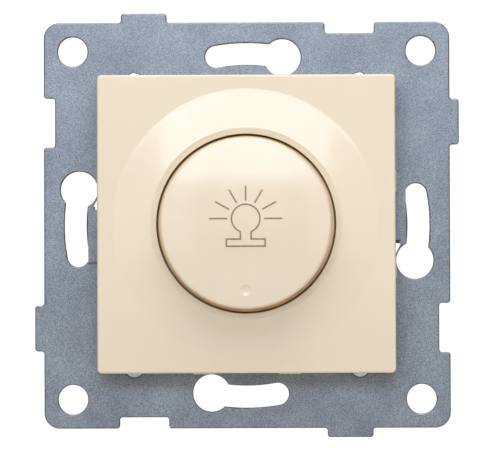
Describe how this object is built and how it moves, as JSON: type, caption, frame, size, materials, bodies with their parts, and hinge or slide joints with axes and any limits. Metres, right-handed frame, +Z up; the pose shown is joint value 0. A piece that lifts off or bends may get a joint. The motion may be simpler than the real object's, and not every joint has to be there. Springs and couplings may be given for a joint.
{
  "type": "rotary dimmer insert",
  "caption": "Flush-mount rotary dimmer insert: ivory centre plate with round knob on a galvanised support frame, spreading claws and a rear housing with screw terminals.",
  "frame": {"origin": "centre of the support frame on its back face, the wall plane, on the knob's axis", "axes": "-Y out of the wall towards the room, +Z up, +X to the right seen from the room"},
  "size_m": [0.0742, 0.0415, 0.0742],
  "materials": {
    "galvanised": "satin",
    "zinc_steel": "satin",
    "spring_steel": "satin",
    "ivory_plastic": "glossy",
    "dark_plastic": "matte",
    "housing_plastic": "matte",
    "white_plastic": "matte",
    "brass": "satin",
    "aluminium": "satin",
    "copper_lead": "satin",
    "enamelled_copper": "glossy",
    "ferrite": "matte",
    "board": "satin",
    "phenolic": "matte",
    "carbon": "matte",
    "capacitor_film": "satin",
    "component_black": "matte",
    "resistor_body": "matte",
    "glass": "clear",
    "mica": "satin",
    "zinc_yellow": "satin"
  },
  "bodies": {
    "frame": {"mounting_plate": "galvanised", "frame_rivets": "zinc_steel", "carrier": "dark_plastic", "carrier_screws": "zinc_steel", "rear_housing": "housing_plastic", "centre_plate": "ivory_plastic", "lock_washer": "spring_steel", "fixing_nut": "zinc_steel", "pot_case": "zinc_steel", "pot_back": "phenolic", "pot_bush": "brass", "track_wafer": "phenolic", "resistive_track": "carbon", "pot_pins": "brass", "switch_case": "dark_plastic", "switch_contacts": "brass", "return_spring": "spring_steel", "claw_nuts": "zinc_steel", "busbars": "brass", "circuit_board": "board", "heat_sink": "aluminium", "insulating_pad": "mica", "triac_tab": "copper_lead", "triac_body": "component_black", "triac_leads": "copper_lead", "triac_screw": "zinc_steel", "choke_core": "ferrite", "choke_winding": "enamelled_copper", "suppression_capacitor": "capacitor_film", "timing_capacitors": "capacitor_film", "resistors": "resistor_body", "diac": "glass", "component_leads": "copper_lead", "fuse_glass": "glass", "fuse_caps": "zinc_steel", "fuse_clips": "brass"},
    "rotor": {"pot_rotor": "white_plastic", "wiper": "brass"},
    "knob": {"control_shaft": "white_plastic", "shaft_clip": "spring_steel", "knob": "ivory_plastic", "knob_clip": "spring_steel", "plunger": "white_plastic", "bridge_contact": "brass"},
    "claw_right": {"claw_right": "galvanised"},
    "claw_washer_right": {"claw_washer_right": "zinc_steel"},
    "claw_screw_right": {"claw_screw_right": "zinc_yellow"},
    "claw_left": {"claw_left": "galvanised"},
    "claw_washer_left": {"claw_washer_left": "zinc_steel"},
    "claw_screw_left": {"claw_screw_left": "zinc_yellow"},
    "terminal_cage_1": {"terminal_cage_1": "brass"},
    "terminal_screw_1": {"terminal_screw_1": "zinc_steel"},
    "terminal_cage_2": {"terminal_cage_2": "brass"},
    "terminal_screw_2": {"terminal_screw_2": "zinc_steel"},
    "terminal_cage_3": {"terminal_cage_3": "brass"},
    "terminal_screw_3": {"terminal_screw_3": "zinc_steel"}
  },
  "joints": [
    {"name": "knob_turn", "type": "hinge", "parent": "frame", "child": "rotor", "pos_m": [0, 0, 0], "axis": [0, -1, 0], "range_deg": [-145, 145]},
    {"name": "knob_push", "type": "slide", "parent": "rotor", "child": "knob", "axis": [0, 1, 0], "range_m": [0, 0.0012], "stiffness_N_per_m": 1500, "springref_m": -0.001, "deforming": ["return_spring"]},
    {"name": "claw_advance_right", "type": "slide", "parent": "frame", "child": "claw_washer_right", "axis": [0, 1, 0], "range_m": [0, 0.00115]},
    {"name": "claw_screw_turn_right", "type": "hinge", "parent": "claw_washer_right", "child": "claw_screw_right", "pos_m": [0.0212, 0, 0.0015], "axis": [0, 1, 0], "range_deg": [0, 828.01]},
    {"name": "claw_swing_right", "type": "hinge", "parent": "frame", "child": "claw_right", "pos_m": [0.0266, -0.001, 0.0015], "axis": [0, 0, -1], "range_deg": [0, 24.01]},
    {"name": "claw_advance_left", "type": "slide", "parent": "frame", "child": "claw_washer_left", "axis": [0, 1, 0], "range_m": [0, 0.00115]},
    {"name": "claw_screw_turn_left", "type": "hinge", "parent": "claw_washer_left", "child": "claw_screw_left", "pos_m": [-0.0212, 0, -0.0015], "axis": [0, 1, 0], "range_deg": [0, 828.01]},
    {"name": "claw_swing_left", "type": "hinge", "parent": "frame", "child": "claw_left", "pos_m": [-0.0266, -0.001, -0.0015], "axis": [0, 0, 1], "range_deg": [0, 24.01]},
    {"name": "terminal_screw_turn_1", "type": "hinge", "parent": "frame", "child": "terminal_screw_1", "pos_m": [-0.0082, 0.0198, -0.024], "axis": [0, 0, 1], "range_deg": [0, 1368.01]},
    {"name": "terminal_cage_lift_1", "type": "slide", "parent": "frame", "child": "terminal_cage_1", "axis": [0, 0, -1], "range_m": [0, 0.0019]},
    {"name": "terminal_screw_turn_2", "type": "hinge", "parent": "frame", "child": "terminal_screw_2", "pos_m": [0, 0.0198, -0.024], "axis": [0, 0, 1], "range_deg": [0, 1368.01]},
    {"name": "terminal_cage_lift_2", "type": "slide", "parent": "frame", "child": "terminal_cage_2", "axis": [0, 0, -1], "range_m": [0, 0.0019]},
    {"name": "terminal_screw_turn_3", "type": "hinge", "parent": "frame", "child": "terminal_screw_3", "pos_m": [0.0082, 0.0198, -0.024], "axis": [0, 0, 1], "range_deg": [0, 1368.01]},
    {"name": "terminal_cage_lift_3", "type": "slide", "parent": "frame", "child": "terminal_cage_3", "axis": [0, 0, -1], "range_m": [0, 0.0019]}
  ],
  "couplings": [
    {"joint": "claw_screw_turn_right", "follows": "claw_advance_right", "rad_per_m": 12566},
    {"joint": "claw_swing_right", "follows": "claw_advance_right", "rad_per_m": 364.24},
    {"joint": "claw_screw_turn_left", "follows": "claw_advance_left", "rad_per_m": 12566},
    {"joint": "claw_swing_left", "follows": "claw_advance_left", "rad_per_m": 364.24},
    {"joint": "terminal_screw_turn_1", "follows": "terminal_cage_lift_1", "rad_per_m": 12566},
    {"joint": "terminal_screw_turn_2", "follows": "terminal_cage_lift_2", "rad_per_m": 12566},
    {"joint": "terminal_screw_turn_3", "follows": "terminal_cage_lift_3", "rad_per_m": 12566}
  ]
}
